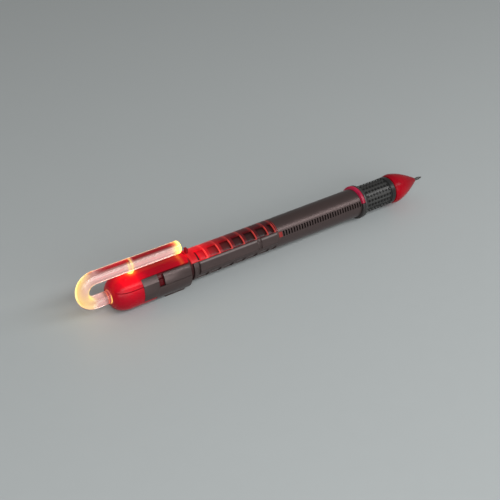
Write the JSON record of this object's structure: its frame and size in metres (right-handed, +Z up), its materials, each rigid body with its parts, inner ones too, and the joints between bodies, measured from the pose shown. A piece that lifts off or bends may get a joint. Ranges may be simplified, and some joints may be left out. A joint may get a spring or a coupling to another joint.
{
  "type": "spy pen",
  "caption": "Light-up novelty ball pen with a clear hook clip, red lamp housing with slide switch, windowed and slotted barrel, knurled grip and screw-off nose cone.",
  "frame": {"origin": "centre of the bounding box's base, the plane of the foot", "axes": "+X along the pen towards the writing tip, +Z up through the clip, switch on the -Y side"},
  "size_m": [0.1536, 0.0128, 0.018],
  "materials": {
    "clear_acrylic": "clear moulded acrylic, polished",
    "red_acrylic": "tinted red acrylic, polished",
    "gunmetal": "plastic with a satin gunmetal lacquer",
    "dark_grip": "dark grey, satin",
    "black_rubber": "black, matt",
    "smoked_tube": "very dark smoked red",
    "steel": "bright",
    "brass": "plain turned brass",
    "board": "green board",
    "red_lamp": "red lamp lens",
    "ink_tube": "natural plastic"
  },
  "bodies": {
    "pen": {"clip": "clear_acrylic", "housing_upper": "red_acrylic", "housing_lower": "red_acrylic", "light_cover": "red_acrylic", "ring_upper": "red_acrylic", "side_cover_near": "gunmetal", "side_cover_far": "gunmetal", "battery_door": "gunmetal", "barrel": "gunmetal", "grip": "dark_grip", "neck_plug": "black_rubber", "seal_ring": "black_rubber", "ring_lower": "black_rubber", "light_tube": "smoked_tube", "door_screw": "steel", "cell_1": "steel", "cell_2": "steel", "cell_3": "steel", "cell_4": "steel", "contact_rear": "brass", "contact_front": "brass", "front_bush": "brass", "switch_leaf": "brass", "circuit_board": "board", "led_rear": "red_lamp", "led_front": "red_lamp"},
    "switch": {"switch_slider": "gunmetal"},
    "refill": {"refill_tube": "ink_tube", "refill_point": "steel", "refill_ball": "steel", "refill_plug": "black_rubber"},
    "nose": {"nose_cone": "red_acrylic"}
  },
  "joints": [
    {"name": "switch_slide", "type": "slide", "parent": "pen", "child": "switch", "axis": [-1, 0, 0], "range_m": [0, 0.002]},
    {"name": "nose_travel", "type": "slide", "parent": "pen", "child": "refill", "axis": [1, 0, 0], "range_m": [0, 0.003]},
    {"name": "nose_turn", "type": "hinge", "parent": "refill", "child": "nose", "pos_m": [0.04687, 0, 0.007], "axis": [1, 0, 0], "range_deg": [0, 1080]}
  ],
  "couplings": [
    {"joint": "nose_turn", "follows": "nose_travel", "rad_per_m": 6283.2}
  ]
}
